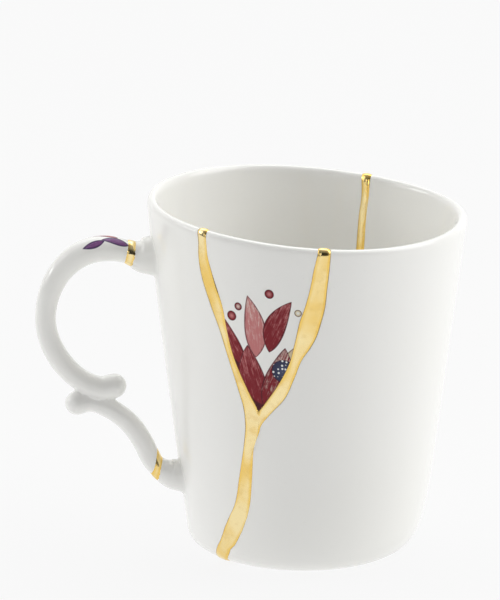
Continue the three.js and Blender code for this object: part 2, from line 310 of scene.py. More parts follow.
def lip():
    """Up the outside of the rim to its crest and down its inside."""
    low = lip_height()
    outside, inside = straight_wall(low), inner_wall(low)
    crest = (outside - LIP_CREST, HEIGHT)
    flare = (inner_wall(low) - inner_wall(low - MM)) / MM
    outer_corner = (outside + LIP_RISE * tan(WALL_LEAN), HEIGHT)
    inner_corner = (inside + LIP_RISE * flare, HEIGHT)
    return (rounding((outside, low), outer_corner, crest)
            + rounding(crest, inner_corner, (inside, low)))


def inner_fillet():
    """Rows round the inside fillet, down to the floor."""
    level = FLOOR_TOP + INSIDE_FILLET
    middle = straight_wall(level) - WALL - INSIDE_FILLET
    turns = np.linspace(0, pi / 2, FILLET_ROWS + 1)[1:]
    return [(middle + INSIDE_FILLET * cos(t), level - INSIDE_FILLET * sin(t)) for t in turns]


def whole_profile():
    """(radius, height) of each row from the underside's recess over the lip to the floor."""
    up = [(straight_wall(h), h) for h in outer_wall(CORNER_RISE)]
    down = [(inner_wall(h), h) for h in outer_wall(FLOOR_TOP + INSIDE_FILLET)[-2::-1]]
    last = FLOOR_TOP + INSIDE_FILLET
    down.append((straight_wall(last) - WALL, last))
    return np.array(outer_foot() + up + lip() + down + inner_fillet())


def printed_profile():
    up = [(straight_wall(h), h) for h in [FORK, *outer_wall(FORK)]]
    down = [(inner_wall(height), height) for _, height in up[-2::-1]]
    return np.array(up + lip() + down)


def outward(profile):
    """Unit normals of a profile, away from the porcelain."""
    ahead = np.gradient(profile, axis=0)
    normal = np.stack([ahead[:, 1], -ahead[:, 0]], axis=-1)
    return normal / np.linalg.norm(normal, axis=1, keepdims=True)


def floor_strip(share, side):
    """A point on the edge of the crack across the floor, side -1 towards the handle."""
    start = FLOOR_SEAM_REACH * np.array([cos(FLOOR_SEAM_FROM), sin(FLOOR_SEAM_FROM)])
    end = FLOOR_SEAM_REACH * np.array([cos(FLOOR_SEAM_TO), sin(FLOOR_SEAM_TO)])
    along = end - start
    across = np.array([along[1], -along[0]]) / np.linalg.norm(along)
    table = np.array(FLOOR_SEAM, float)
    aside = through(table[:, 0], table[:, 1] * MM, share)
    half = through(table[:, 0], table[:, 2] * MM, share)
    return start + share[:, None] * along + (aside + side * half)[:, None] * across


def floor_edge(share, side, radius, height, tuck=0):
    """The same edge, bent at its ends to meet the crack's edges at this radius and height."""
    level = np.full(1, height)
    slack = side * tuck / radius
    if side < 0:
        from_angle, to_angle = left_one(level) - slack, far_other(level) + slack
    else:
        from_angle, to_angle = right_other(level) - slack, far_one(level) + slack
    fade_from = (1 - np.clip(share / FLOOR_SEAM_BEND, 0, 1))[:, None] ** 2
    fade_to = (1 - np.clip((1 - share) / FLOOR_SEAM_BEND, 0, 1))[:, None] ** 2
    strip = floor_strip(share, side)
    ends = floor_strip(np.array([0.0, 1.0]), side)
    start = place(from_angle, radius, height)[0, :2] - ends[0]
    end = place(to_angle, radius, height)[0, :2] - ends[1]
    spot = strip + fade_from * start + fade_to * end
    return np.column_stack([spot, np.full(len(share), height)])


# Meshes

def sheet(grid, flat=None):
    """Faces over a grid of points; flat gives their UV, in millimetres."""
    columns, rows = grid.shape[0] - 1, grid.shape[1] - 1
    bm = bmesh.new()
    layer = bm.loops.layers.uv.new("surface")
    bmesh.ops.create_grid(bm, x_segments=columns, y_segments=rows, size=0.5)
    bm.verts.index_update()
    corners = np.array([v.co for v in bm.verts])
    column = np.rint((corners[:, 0] + 0.5) * columns).astype(int)
    row = np.rint((corners[:, 1] + 0.5) * rows).astype(int)
    for vert, spot in zip(bm.verts, grid[column, row]):
        vert.co = spot
    if flat is not None:
        drawn = flat[column, row]
        for face in bm.faces:
            for loop in face.loops:
                loop[layer].uv = drawn[loop.vert.index]
    return bm


def to_object(bm, name, material, slot, *nodes):
    mesh = bpy.data.meshes.new(name)
    bm.to_mesh(mesh)
    bm.free()
    mesh.materials.append(material)
    piece = bpy.data.objects.new(name, mesh)
    bpy.context.scene.collection.objects.link(piece)
    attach(piece, "root")
    if nodes:
        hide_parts(*nodes)
    return piece


def smooth(bm):
    for face in bm.faces:
        face.smooth = True


def close_up(bm):
    """Joins the folded edges of a shard and keeps its broken edges sharp."""
    bmesh.ops.remove_doubles(bm, verts=bm.verts, dist=TOUCHING)
    bmesh.ops.dissolve_degenerate(bm, edges=bm.edges, dist=TOUCHING / 2)
    bmesh.ops.recalc_face_normals(bm, faces=bm.faces)
    smooth(bm)
    for edge_line in bm.edges:
        if edge_line.is_manifold and edge_line.calc_face_angle(0) > BROKEN_EDGE:
            edge_line.smooth = False
    return bm


def fold(grid):
    """Adds half-way points round a grid of points, so that front and back meet in the crack."""
    middle = (grid + grid[:, ::-1]) / 2
    wide = np.concatenate([middle[:1], grid, middle[-1:]])
    start = (wide[:, :1] + wide[:, -1:]) / 2
    return np.concatenate([start, wide, start], axis=1)


def shard(grid, flat, name, material, slot, node):
    """A piece of the cup from a grid of points over its faces and their UV."""
    bm = sheet(fold(grid), np.pad(flat, ((1, 1), (1, 1), (0, 0)), "edge"))
    return to_object(close_up(bm), name, material, slot, node)


def half_cup(columns, start_edge, end_edge, side, from_stem):
    """Points over a half of the cup, from the underside over the lip to the floor, and their UV."""
    profile = whole_profile()
    radius, height = profile[:, 0], profile[:, 1]
    across = np.linspace(0, 1, columns + 1)[:, None]
    slack = TUCK / straight_wall(height)
    start = start_edge(height) - slack
    end = end_edge(height) + slack
    angle = start + across * (end - start)
    wall = place(angle, radius[None, :], height[None, :])
    share = (1 - np.cos(pi * across[:, 0])) / 2
    share = share if from_stem else 1 - share
    inward = np.linspace(0, 1, FLOOR_ROWS + 1)[:-1][None, :, None]
    below = floor_edge(share, side, radius[0], height[0], TUCK)[:, None]
    above = floor_edge(share, side, radius[-1], height[-1], TUCK)[:, None]
    underside = below + inward * (wall[:, :1] - below)
    floor = above + inward[:, ::-1] * (wall[:, -1:] - above)
    grid = np.concatenate([underside, wall, floor], axis=1)
    turn = np.concatenate([np.repeat(angle[:, :1], FLOOR_ROWS, 1), angle,
                           np.repeat(angle[:, -1:], FLOOR_ROWS, 1)], axis=1)
    way = np.cumsum(np.linalg.norm(np.diff(grid, axis=1, prepend=grid[:, :1]), axis=2), axis=1)
    return grid, np.stack([turn * RIM_RADIUS, way], axis=-1) / MM


def printed_grid(columns):
    """The same for the printed shard: outside, over the lip and down its inside."""
    profile = printed_profile()
    radius, height = profile[:, 0], profile[:, 1]
    across = np.linspace(0, 1, columns + 1)[:, None]
    slack = TUCK / straight_wall(height)
    start, end = left_other(height) - slack, right_one(height) + slack
    angle = start + across * (end - start)
    grid = place(angle, radius[None, :], height[None, :])
    rows = np.arange(len(height))
    level = np.where(rows <= len(rows) // 2, height, 2 * HEIGHT - height)
    flat = np.stack([(angle - PRINT_MIDDLE) * straight_wall(height), level + 0 * angle], axis=-1)
    return grid, flat / MM


# Gold

def gold_lift(inside, shoulder=GOLD_SHOULDER):
    """Height of the gold above the glaze at a distance inside its edge."""
    share = np.clip(inside / shoulder, 0, 1)
    return -GOLD_SUNK + (GOLD_PROUD + GOLD_SUNK) * (1 - (1 - share) ** GOLD_ROUNDING)


def unevenness(spots):
    """Slow swells of the gold's surface, as a share of its height."""
    x, y, z = (spots[..., i] / MM for i in range(3))
    return (0.1 * np.sin(0.9 * z + 0.5 * x) + 0.09 * np.sin(0.55 * z - 0.8 * y + 2)
            + 0.06 * np.sin(1.7 * z + 0.7 * y))


def raised(spots, normals, inside, shoulder):
    lift = gold_lift(inside, shoulder)
    uneven = unevenness(spots) * smoothstep(0, GOLD_SHOULDER, inside)
    lift = np.where(inside > 0, lift * (1 + uneven), lift)
    return spots + normals * lift[..., None]


def wall_band(profile, edges, forks):
    """Points, outward directions and distances from the edge over a band of gold. It has two
    halves side by side, which part above the fork."""
    radius, height = profile[:, 0], profile[:, 1]
    normal = outward(profile)
    one, inner_one, inner_other, other = edges(height)
    across = np.linspace(0, 1, GOLD_COLUMNS + 1)[:, None]
    left = one + across * (inner_one - one)
    right = inner_other + across * (other - inner_other)
    reach = straight_wall(height)
    split = height > ABOVE_FORK if forks else np.zeros(len(height), bool)

    def slope(line):
        """Turns a width measured level into one measured square to a leaning edge."""
        return 1 / np.sqrt(1 + (np.gradient(line) * reach / np.maximum(
            np.abs(np.gradient(height)), 0.3 * MM)) ** 2)

    def inside(angle, near, far, near_open, far_open):
        to_near = np.where(near_open, np.abs(angle - near) * reach * slope(near), 1)
        to_far = np.where(far_open, np.abs(far - angle) * reach * slope(far), 1)
        least = np.minimum(to_near, to_far)
        if forks:
            aside = np.abs(angle - FORK_ANGLE) * reach
            crease = np.where(height > FORK - FORK_CREASE, CREASE_EDGE + CREASE_SPREAD * aside, 1)
            tip = np.minimum(crease, np.hypot(aside, np.minimum(height - FORK, 0)))
            least = np.where(split, least, np.minimum(least, tip))
        return np.maximum(least, 0)

    always = np.ones(len(height), bool)
    depth = np.concatenate([inside(left, one, inner_one, always, split),
                            inside(right, inner_other, other, split, always)])
    angle = np.concatenate([left, right])
    spots = place(angle, radius[None, :], height[None, :])
    ahead = place(angle, radius + normal[:, 0] * MM, height + normal[:, 1] * MM) - spots
    directions = ahead / np.linalg.norm(ahead, axis=-1, keepdims=True)
    return spots, directions, depth


def stem_edges(height):
    one, other = left_one(height), right_other(height)
    toward = smoothstep(FORK - FORK_BLEND, FORK, height)
    between = (one + other) / 2 + toward * (FORK_ANGLE - (one + other) / 2)
    split = height > ABOVE_FORK
    return (one, np.where(split, left_other(height), between),
            np.where(split, right_one(height), between), other)


def far_edges(height):
    one, other = far_other(height), far_one(height)
    return one, (one + other) / 2, (one + other) / 2, other


def floor_band(radius, height, up):
    """The same for the gold across the floor, up 1, or across the underside, up -1."""
    share = np.linspace(0, 1, FLOOR_GOLD_ROWS + 1)[1:-1]
    handle_edge = floor_edge(share, -1, radius, height)
    far_edge = floor_edge(share, 1, radius, height)
    across = np.linspace(0, 0.5, GOLD_COLUMNS + 1)
    across = np.concatenate([across, across + 0.5])[:, None, None]
    spots = handle_edge + across * (far_edge - handle_edge)
    width = np.linalg.norm(far_edge - handle_edge, axis=1)
    depth = np.minimum(across[..., 0], 1 - across[..., 0]) * width
    directions = np.zeros_like(spots)
    directions[..., 2] = up
    return spots, directions, depth


def mark_edge(bm, depth):
    """Keeps each point's distance from the gold's edge, in millimetres, for the material."""
    layer = bm.verts.layers.float.new("from_edge")
    for vert, inside in zip(bm.verts, depth.T.ravel()):
        vert[layer] = inside / MM


def gold_seam(material):
    profile = whole_profile()
    stem = wall_band(profile, stem_edges, True)
    far = wall_band(profile, far_edges, False)
    top = floor_band(*profile[-1], 1)
    under = floor_band(*profile[0], -1)
    parts = [stem, top, [a[:, ::-1] for a in far], [a[:, ::-1] for a in under]]
    spots, directions, depth = (np.concatenate([p[i] for p in parts], axis=1) for i in range(3))
    # Under the foot the gold only grows downwards, or it would fold over at the foot ring
    down = 1 - smoothstep(0.5 * MM, 1.5 * MM, spots[..., 2])[..., None]
    directions = directions * (1 - down) - down * np.array([0, 0, 1])
    shoulder = np.full(spots.shape[1], GOLD_SHOULDER)
    first = stem[0].shape[1] + top[0].shape[1]
    shoulder[first:first + far[0].shape[1]] = FAR_SHOULDER
    grid = raised(spots, directions, depth, shoulder)
    grid[..., 2] = np.maximum(grid[..., 2], FOOT_CLEARANCE)
    grid = np.concatenate([grid, grid[:, :1]], axis=1)
    depth = np.concatenate([depth, depth[:, :1]], axis=1)
    bm = sheet(grid)
    mark_edge(bm, depth)
    # The faces between the two halves go, and below the fork the halves join
    middle = [face for face in bm.faces if {v.index % grid.shape[0] for v in face.verts}
              == {GOLD_COLUMNS, GOLD_COLUMNS + 1}]
    bmesh.ops.delete(bm, geom=middle, context="FACES_ONLY")
    bmesh.ops.remove_doubles(bm, verts=bm.verts, dist=TOUCHING)
    smooth(bm)
    piece = to_object(bm, "gold_of_the_crack", material, "gold", "gold_seam")
    thicken(piece)
    return piece


def thicken(piece):
    shell = piece.modifiers.new("thickness", "SOLIDIFY")
    shell.thickness = GOLD_THICKNESS
    shell.offset = -1


# Handle

def height_at(level):
    height = level
    for _ in range(5):
        height += level - place(np.array([pi]), MM, np.array([height]))[0, 2]
    return height


ROOT_RADII = [float(true_radius(height_at(HANDLE_FOOT + up * HANDLE_HEIGHT), pi)) for up in (0, 1)]


def handle_spot(out, up):
    wall = ROOT_RADII[0] + (ROOT_RADII[1] - ROOT_RADII[0]) * up
    return np.stack([-wall - out * HANDLE_HEIGHT, 0 * out, HANDLE_FOOT + up * HANDLE_HEIGHT], axis=-1)


def scroll_line(stations, steps):
    """Points down the middle of a scroll and its radius at each."""
    table = np.array(stations, float)
    points = handle_spot(table[:, 0], table[:, 1])
    knots = np.concatenate([[0], np.cumsum(np.linalg.norm(np.diff(points, axis=0), axis=1) ** 0.5)])
    at = np.linspace(0, knots[-1], steps + 1)
    line = through(knots, np.column_stack([points, table[:, 2] * TUBE]), at)
    return line[:, :3], line[:, 3]


def ring_spot(ring):
    return handle_spot(np.array([ring["out"]]), np.array([ring["up"]]))[0]


def line_index(line, ring):
    """Number of the point of a line where its ring crosses it."""
    return int(np.argmin(np.linalg.norm(line[0] - ring_spot(ring), axis=1)))


UPPER_LINE = scroll_line(UPPER_SCROLL, UPPER_STEPS)
LOWER_LINE = scroll_line(LOWER_SCROLL, LOWER_STEPS)


def from_bar(spots, line):
    """Distance of each spot from a scroll's surface."""
    middle, radius = line
    apart = np.linalg.norm(spots[..., None, :] - middle, axis=-1)
    return apart.min(axis=-1) - radius[apart.argmin(axis=-1)]


def bar_grid(line, first):
    """Points over a scroll from its point number first, with a round end, their normals and UV."""
    middle, radius = (a[first:] for a in line)
    ahead = np.gradient(middle, axis=0)
    ahead /= np.linalg.norm(ahead, axis=1, keepdims=True)
    ends = np.linspace(0, pi / 2, KNOB_ROWS + 1)[1:]
    last = radius[-1]
    middle = np.concatenate([middle, middle[-1] + np.sin(ends)[:, None] * last * ahead[-1]])
    radius = np.concatenate([radius, last * np.cos(ends)])
    ahead = np.concatenate([ahead, np.repeat(ahead[-1:], len(ends), 0)])
    turn = np.linspace(-pi, pi, BAR_SIDES + 1)[:, None, None]
    side = np.array([0.0, 1.0, 0.0])
    above = np.stack([ahead[:, 2], 0 * ahead[:, 0], -ahead[:, 0]], axis=-1)
    spoke = np.sin(turn) * side + np.cos(turn) * above
    grid = middle + radius[:, None] * spoke
    ball = np.zeros(len(middle))
    ball[-len(ends):] = np.sin(ends)
    normal = spoke * np.sqrt(1 - ball**2)[:, None] + ahead * ball[:, None]
    way = np.concatenate([[0], np.cumsum(np.linalg.norm(np.diff(middle, axis=0), axis=1))])
    flat = np.stack([turn[:, :, 0] * TUBE + 0 * way, way + 0 * turn[:, :, 0]], axis=-1)
    return grid, normal, flat / MM


def soft_crease(grid, normal, other):
    """Swells a bar where it runs into another, so that glaze fills the crease."""
    rise = np.zeros(grid.shape[:-1])
    # Each pass brings every point nearer to the blend of both bars' surfaces
    for _ in range(12):
        gap = from_bar(grid + rise[..., None] * normal, other)
        near = np.maximum(CREASE_SOFTNESS - np.abs(rise - gap), 0) / CREASE_SOFTNESS
        level = np.minimum(rise, gap) - near**2 * CREASE_SOFTNESS / 4
        rise = np.clip(rise - 0.8 * level, 0, CREASE_SOFTNESS * 0.6)
    outside = from_bar(grid, other) > -0.4 * CREASE_SOFTNESS
    return grid + (rise * outside)[..., None] * normal


def scroll_bar(line, other, ring, along=0):
    """One scroll as a mesh, from its ring on. Its UV is in mm round the bar and along it."""
    grid, normal, flat = bar_grid(line, line_index(line, ring))
    flat[..., 1] += along
    bm = sheet(soft_crease(grid, normal, other), flat)
    bmesh.ops.remove_doubles(bm, verts=bm.verts, dist=TOUCHING)
    return bm


def merge_into(bm, extra):
    mesh = bpy.data.meshes.new("part")
    extra.to_mesh(mesh)
    extra.free()
    bm.from_mesh(mesh)
    bpy.data.meshes.remove(mesh)
    return bm


def cap_holes(bm):
    edges = [e for e in bm.edges if e.is_boundary]
    bmesh.ops.holes_fill(bm, edges=edges, sides=0)
    bmesh.ops.recalc_face_normals(bm, faces=bm.faces)
    for face in bm.faces:
        face.smooth = len(face.verts) < 5
    return bm


def handle(material):
    upper = scroll_bar(UPPER_LINE, LOWER_LINE, UPPER_RING)
    lower = scroll_bar(LOWER_LINE, UPPER_LINE, LOWER_RING, PAST_THE_LEAVES)
    bm = cap_holes(merge_into(upper, lower))
    return to_object(bm, "handle_scrolls", material, "handle_porcelain", "handle_scroll")


def wall_front(y, z):
    """x of the cup's outside at the handle, at a place y, z."""
    x = np.full(np.shape(y), -ROOT_RADII[1])
    for _ in range(6):
        angle = np.arctan2(y, x)
        height = z - rim_rise(angle) * np.clip((z - FLOOR_TOP) / (HEIGHT - FLOOR_TOP), 0, None) ** 3
        reach = true_radius(height, angle)
        x = -np.sqrt(np.maximum(reach**2 - y**2, MM**2))
    return x


def root_bar(line, ring):
    """The short root between the wall and its ring, with a fillet where it meets the wall."""
    last = line_index(line, ring) + 1
    middle, radius = line[0][:last + 1], line[1][:last + 1]
    # The rows lie closer together towards the wall
    at = np.linspace(0, 1, ROOT_ROWS + 1) ** 1.6 * last
    i = np.arange(last + 1)
    middle = np.column_stack([np.interp(at, i, middle[:, k]) for k in range(3)])
    radius = np.interp(at, i, radius)
    ahead = np.gradient(middle, axis=0)
    ahead /= np.linalg.norm(ahead, axis=1, keepdims=True)
    out = middle[0, 0] - middle[:, 0]
    close = 1 - smoothstep(1 * MM, 5 * MM, out)
    tangent = np.sqrt(np.minimum(out, ROOT_FILLET) / ROOT_FILLET)
    turn = np.linspace(0, 2 * pi, ROOT_SIDES + 1)[:, None, None]
    above = np.stack([ahead[:, 2], 0 * ahead[:, 0], -ahead[:, 0]], axis=-1)
    spoke = np.sin(turn) * np.array([0.0, 1.0, 0.0]) + np.cos(turn) * above
    # The fillet is small above the root and full below it
    fillet = ROOT_FILLET * (0.6 - 0.4 * np.cos(turn)) * (1 - tangent[:, None]) ** 2
    grid = middle + (radius[:, None] + fillet) * spoke
    # Near the wall the rows take up its curve
    front = wall_front(grid[..., 1], grid[..., 2]) - out + ROOT_TUCK
    grid[..., 0] += close * (front - grid[..., 0])
    sunk = grid[:, :1] + np.array([ROOT_SUNK, 0, 0])
    bm = sheet(np.concatenate([sunk, grid], axis=1))
    bmesh.ops.remove_doubles(bm, verts=bm.verts, dist=TOUCHING)
    return bm


def handle_roots(material):
    upper = root_bar(UPPER_LINE, UPPER_RING)
    lower = root_bar(LOWER_LINE, LOWER_RING)
    return to_object(cap_holes(merge_into(upper, lower)), "handle_roots", material, "porcelain")


def ring_of_gold(line, ring, waves, name, material, node):
    """A raised band round a scroll, in the ring's own leaning plane; waves vary its width."""
    turn = np.linspace(0, 2 * pi, RING_SIDES + 1)[:, None]
    across = np.linspace(-1, 1, RING_ROWS + 1)[None, :]
    half = ring["width"] / 2 * waves(turn)
    forward = np.array([cos(ring["lean"]), 0, -sin(ring["lean"])])
    above = np.array([sin(ring["lean"]), 0, cos(ring["lean"])])
    spot = ring_spot(ring)
    shift = across * half
    start = spot + shift[..., None] * forward
    spoke = np.sin(turn)[..., None] * np.array([0.0, 1.0, 0.0]) + np.cos(turn)[..., None] * above
    spoke = np.repeat(spoke, RING_ROWS + 1, 1)
    depth = (1 - np.abs(across)) * half
    lift = gold_lift(depth) * RING_PROUD
    # Halving, to find how far along each spoke the gold's surface lies
    low, high = np.zeros(shift.shape), np.full(shift.shape, 9 * MM)
    for _ in range(24):
        middle = (low + high) / 2
        beyond = from_bar(start + middle[..., None] * spoke, line) > lift
        low, high = np.where(beyond, low, middle), np.where(beyond, middle, high)
    grid = start + low[..., None] * spoke
    bm = sheet(grid)
    mark_edge(bm, depth)
    bmesh.ops.remove_doubles(bm, verts=bm.verts, dist=TOUCHING)
    smooth(bm)
    outside = sum(f.normal.dot(f.calc_center_median() - Vector(spot)) > 0 for f in bm.faces)
    if outside < len(bm.faces) / 2:
        bmesh.ops.reverse_faces(bm, faces=bm.faces)
    piece = to_object(bm, name, material, "gold", node)
    thicken(piece)
    return piece


# Shader helpers

def new_group(name, inputs, outputs):
    group = bpy.data.node_groups.new(name, "ShaderNodeTree")
    for label, kind, value in inputs:
        socket = group.interface.new_socket(label, in_out="INPUT", socket_type=kind)
        if value is not None:
            socket.default_value = value
    for label, kind in outputs:
        group.interface.new_socket(label, in_out="OUTPUT", socket_type=kind)
    start = group.nodes.new("NodeGroupInput")
    end = group.nodes.new("NodeGroupOutput")
    return group, start, end


def wire(tree, socket, value):
    if isinstance(value, bpy.types.NodeSocket):
        tree.links.new(value, socket)
    elif value is not None:
        socket.default_value = value


def math(tree, operation, *values, clamp=False):
    node = tree.nodes.new("ShaderNodeMath")
    node.operation = operation
    node.use_clamp = clamp
    for socket, value in zip(node.inputs, values):
        wire(tree, socket, value)
    return node.outputs[0]


def ramp(tree, value, low, high, from_value=0.0, to_value=1.0):
    node = tree.nodes.new("ShaderNodeMapRange")
    node.interpolation_type = "SMOOTHSTEP"
    for socket, given in zip(node.inputs, (value, low, high, from_value, to_value)):
        wire(tree, socket, given)
    return node.outputs["Result"]


def blend(tree, share, one, other):
    node = tree.nodes.new("ShaderNodeMix")
    node.data_type = "RGBA"
    wire(tree, node.inputs["Factor"], share)
    wire(tree, node.inputs["A"], one)
    wire(tree, node.inputs["B"], other)
    return node.outputs["Result"]


def noise(tree, place_socket, scale, detail=3.0, roughness=0.5, stretch=None):
    if stretch:
        mapping = tree.nodes.new("ShaderNodeMapping")
        mapping.inputs["Scale"].default_value = stretch
        tree.links.new(place_socket, mapping.inputs["Vector"])
        place_socket = mapping.outputs["Vector"]
    node = tree.nodes.new("ShaderNodeTexNoise")
    tree.links.new(place_socket, node.inputs["Vector"])
    node.inputs["Scale"].default_value = scale
    node.inputs["Detail"].default_value = detail
    node.inputs["Roughness"].default_value = roughness
    return node.outputs["Fac"]


def bump(tree, height, distance, strength=1.0, under=None):
    node = tree.nodes.new("ShaderNodeBump")
    node.inputs["Distance"].default_value = distance
    node.inputs["Strength"].default_value = strength
    tree.links.new(height, node.inputs["Height"])
    if under:
        tree.links.new(under, node.inputs["Normal"])
    return node.outputs["Normal"]


def new_material(name):
    material = bpy.data.materials.new(name)
    material.use_nodes = True
    tree = material.node_tree
    shader = tree.nodes["Principled BSDF"]
    coordinates = tree.nodes.new("ShaderNodeTexCoord")
    return material, tree, shader, coordinates


def place_group(tree, group, **values):
    node = tree.nodes.new("ShaderNodeGroup")
    node.node_tree = group
    for label, value in values.items():
        wire(tree, node.inputs[label], value)
    return node


def rgb(red, green, blue):
    return (red, green, blue, 1)


# Colours of the porcelain, and of the gold with the dark line along its edge: partly lacquer where
# the gold thins, partly painted shade of the crack beside it
BODY = rgb(0.905, 0.902, 0.874)
TINT = rgb(0.9, 0.898, 0.842)
IRON = rgb(0.42, 0.36, 0.28)
BARE_CLAY = rgb(0.72, 0.68, 0.6)
# Rich gold at the edges and pale gold on the flat top: partly the gold's own uneven tone, partly a
# painted highlight
RICH_GOLD = rgb(0.86, 0.59, 0.16)
PALE_GOLD = rgb(0.92, 0.76, 0.41)
WORN_GOLD = rgb(0.7, 0.42, 0.1)
DARK_LACQUER_AND_EDGE_SHADE = rgb(0.2, 0.09, 0.03)


# Shared effects

def glaze_group():
    """Thick glaze: a slow swell, faint orange peel and a little iron speck; grainy where bare."""
    group, start, end = new_group(
        "glaze",
        [("Place", "NodeSocketVector", None), ("Body", "NodeSocketColor", rgb(0.8, 0.8, 0.8)),
         ("Tint", "NodeSocketColor", rgb(0.8, 0.8, 0.7)), ("Bare", "NodeSocketFloat", 0.0)],
        [("Color", "NodeSocketColor"), ("Roughness", "NodeSocketFloat"),
         ("Height", "NodeSocketFloat")],
    )
    spot = start.outputs["Place"]
    swell = noise(group, spot, 38, 2)
    peel = noise(group, spot, 620, 2)
    cloud = noise(group, spot, 16, 3)
    speck = ramp(group, noise(group, spot, 1400, 0), 0.82, 0.9)
    tinted = ramp(group, cloud, 0.35, 0.7, 0, 0.35)
    color = blend(group, tinted, start.outputs["Body"], start.outputs["Tint"])
    color = blend(group, math(group, "MULTIPLY", speck, 0.07), color, IRON)
    bare = start.outputs["Bare"]
    color = blend(group, bare, color, BARE_CLAY)
    glossy = ramp(group, swell, 0.3, 0.7, 0.07, 0.13)
    rough = math(group, "ADD", glossy, math(group, "MULTIPLY", bare, 0.55))
    grain = math(group, "MULTIPLY", noise(group, spot, 2600, 2), bare)
    height = math(group, "ADD", swell, math(group, "MULTIPLY", peel, 0.035))
    height = math(group, "ADD", height, math(group, "MULTIPLY", grain, 0.12))
    group.links.new(color, end.inputs["Color"])
    group.links.new(rough, end.inputs["Roughness"])
    group.links.new(height, end.inputs["Height"])
    return group


def leaf_group():
    """One painted leaf: its shape, outline, veins and the way along it, on a UV in mm."""
    group, start, end = new_group(
        "painted leaf",
        [("Place", "NodeSocketVector", None), ("Foot", "NodeSocketVector", (0, 0, 0)),
         ("Angle", "NodeSocketFloat", 0.0), ("Length", "NodeSocketFloat", 10.0),
         ("Width", "NodeSocketFloat", 4.0), ("Bend", "NodeSocketFloat", 0.0)],
        [("Shape", "NodeSocketFloat"), ("Outline", "NodeSocketFloat"),
         ("Veins", "NodeSocketFloat"), ("Along", "NodeSocketFloat"), ("Strokes", "NodeSocketFloat")],
    )
    shift = group.nodes.new("ShaderNodeVectorMath")
    shift.operation = "SUBTRACT"
    group.links.new(start.outputs["Place"], shift.inputs[0])
    group.links.new(start.outputs["Foot"], shift.inputs[1])
    turn = group.nodes.new("ShaderNodeVectorRotate")
    turn.rotation_type = "Z_AXIS"
    group.links.new(shift.outputs[0], turn.inputs["Vector"])
    group.links.new(math(group, "MULTIPLY", start.outputs["Angle"], -1.0), turn.inputs["Angle"])
    split = group.nodes.new("ShaderNodeSeparateXYZ")
    group.links.new(turn.outputs[0], split.inputs[0])
    along = math(group, "DIVIDE", split.outputs["X"], start.outputs["Length"])
    kept = math(group, "MINIMUM", math(group, "MAXIMUM", along, 0.0), 1.0)
    arch = math(group, "MULTIPLY", kept, math(group, "SUBTRACT", 1.0, kept))
    arch = math(group, "MULTIPLY", arch, 4.0)
    bow = math(group, "MULTIPLY", arch, start.outputs["Bend"])
    aside = math(group, "ABSOLUTE", math(group, "SUBTRACT", split.outputs["Y"], bow))
    belly = math(group, "MULTIPLY", math(group, "POWER", arch, 0.85),
                 math(group, "SUBTRACT", 1.25, math(group, "MULTIPLY", kept, 0.5)))
    half = math(group, "MULTIPLY", belly, math(group, "MULTIPLY", start.outputs["Width"], 0.5))
    beyond = math(group, "MULTIPLY", math(group, "ABSOLUTE", math(group, "SUBTRACT", along, kept)),
                  start.outputs["Length"])
    inside = math(group, "SUBTRACT", math(group, "SUBTRACT", half, aside), beyond)
    shape = ramp(group, inside, -0.06, 0.14)
    strokes = noise(group, turn.outputs[0], 1.0, 3, 0.6, (0.22, 2.4, 1.0))
    uneven = math(group, "MULTIPLY", math(group, "SUBTRACT", strokes, 0.5), 0.7)
    ragged = math(group, "ADD", inside, uneven)
    outline = math(group, "MULTIPLY", shape, ramp(group, ragged, 0.15, 0.6, 1.0, 0.0))
    rib = ramp(group, aside, 0.1, 0.3, 1.0, 0.0)
    teeth = math(group, "SUBTRACT", math(group, "MULTIPLY", split.outputs["X"], 0.55),
                 math(group, "MULTIPLY", aside, 0.5))
    comb = math(group, "SUBTRACT", math(group, "FRACT", teeth), 0.5)
    side_rib = ramp(group, math(group, "ABSOLUTE", comb), 0.05, 0.14, 1.0, 0.0)
    veins = math(group, "MAXIMUM", rib, math(group, "MULTIPLY", side_rib, 0.6))
    for label, socket in (("Shape", shape), ("Outline", outline), ("Veins", veins), ("Along", kept),
                          ("Strokes", strokes)):
        group.links.new(socket, end.inputs[label])
    return group


def berry_group():
    """One painted berry: a disc, its outline and its lit side, on a UV in mm."""
    group, start, end = new_group(
        "painted berry",
        [("Place", "NodeSocketVector", None), ("Middle", "NodeSocketVector", (0, 0, 0)),
         ("Radius", "NodeSocketFloat", 2.0)],
        [("Shape", "NodeSocketFloat"), ("Outline", "NodeSocketFloat"), ("Shine", "NodeSocketFloat")],
    )
    apart = group.nodes.new("ShaderNodeVectorMath")
    apart.operation = "DISTANCE"
    group.links.new(start.outputs["Place"], apart.inputs[0])
    group.links.new(start.outputs["Middle"], apart.inputs[1])
    inside = math(group, "SUBTRACT", start.outputs["Radius"], apart.outputs["Value"])
    shape = ramp(group, inside, -0.05, 0.12)
    outline = math(group, "MULTIPLY", shape, ramp(group, inside, 0.12, 0.4, 1.0, 0.0))
    shine = ramp(group, math(group, "DIVIDE", inside, start.outputs["Radius"]), 0.2, 1.0)
    for label, socket in (("Shape", shape), ("Outline", outline), ("Shine", shine)):
        group.links.new(socket, end.inputs[label])
    return group


GLAZE = glaze_group()
LEAF = leaf_group()
BERRY = berry_group()

# Colours of the print
CRIMSON = rgb(0.21, 0.01, 0.018)
PINK = rgb(0.56, 0.2, 0.2)
ROSE = rgb(0.74, 0.58, 0.52)
MAROON = rgb(0.06, 0.004, 0.012)
BEIGE = rgb(0.68, 0.57, 0.36)
BLUE_BLACK = rgb(0.035, 0.04, 0.085)
NIGHT_BLUE = rgb(0.07, 0.08, 0.15)
MAUVE = rgb(0.2, 0.08, 0.22)
LILAC = rgb(0.38, 0.27, 0.45)
WHITE = rgb(0.88, 0.88, 0.86)


